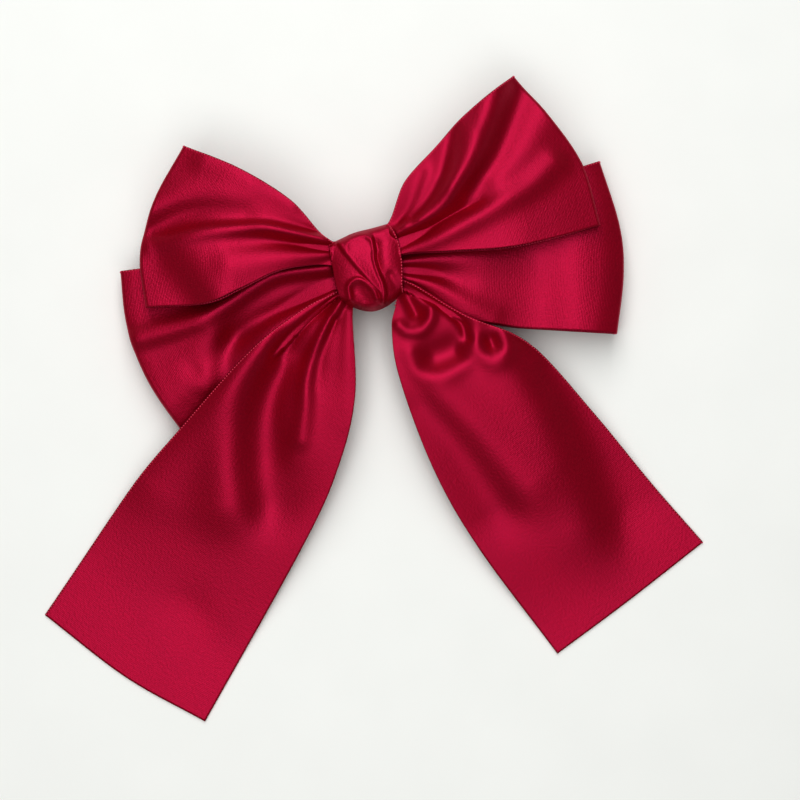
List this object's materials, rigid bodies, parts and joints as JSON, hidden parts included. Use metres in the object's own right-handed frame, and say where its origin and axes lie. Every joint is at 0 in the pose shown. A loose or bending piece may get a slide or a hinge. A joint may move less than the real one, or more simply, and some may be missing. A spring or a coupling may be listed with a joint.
{
  "type": "hair bow",
  "caption": "Double-loop satin ribbon bow with long tails and a knotted centre wrap, on a hinged spring barrette that clips into hair.",
  "frame": {"origin": "under the middle of the knot, on the flat lower face of the closed lever that the bow lies on", "axes": "+X along the clip, from its hinge to its latch; +Y towards the top of the bow, away from the tails; +Z out of the bow's face"},
  "size_m": [0.2232, 0.1916, 0.0264],
  "materials": {
    "satin_ribbon": "crimson polyester satin, fine cross ribs, soft pinkish sheen",
    "binding_thread": "matt waxed thread",
    "hot_glue": "cloudy dried glue",
    "clip_steel": "nickel plated spring steel with handling scuffs"
  },
  "bodies": {
    "bow": {"back_loop_ribbon": "satin_ribbon", "front_loop_ribbon": "satin_ribbon", "tail_ribbon": "satin_ribbon", "knot_wrap": "satin_ribbon", "gather_thread": "binding_thread", "glue_dab_left": "hot_glue", "glue_dab_right": "hot_glue", "base_plate": "clip_steel", "spring_strip": "clip_steel", "hinge_pin": "clip_steel", "latch_saddle": "clip_steel", "latch_rivet": "clip_steel"},
    "lever": {"lever": "clip_steel"},
    "latch_front": {"latch_prong_front": "clip_steel"},
    "latch_rear": {"latch_prong_rear": "clip_steel"}
  },
  "joints": [
    {"name": "lever_hinge", "type": "hinge", "parent": "bow", "child": "lever", "pos_m": [-0.036, 0, 0.0032], "axis": [0, 1, 0], "range_deg": [0, 80]},
    {"name": "latch_front_flex", "type": "hinge", "parent": "bow", "child": "latch_front", "pos_m": [0.037, -0.00195, 0.0073], "axis": [1, 0, 0], "range_deg": [0, 7], "stiffness_Nm_per_rad": 0.05},
    {"name": "latch_rear_flex", "type": "hinge", "parent": "bow", "child": "latch_rear", "pos_m": [0.037, 0.00195, 0.0073], "axis": [1, 0, 0], "range_deg": [-7, 0], "stiffness_Nm_per_rad": 0.05}
  ],
  "couplings": [
    {"joint": "latch_rear_flex", "follows": "latch_front_flex", "ratio": -1}
  ]
}
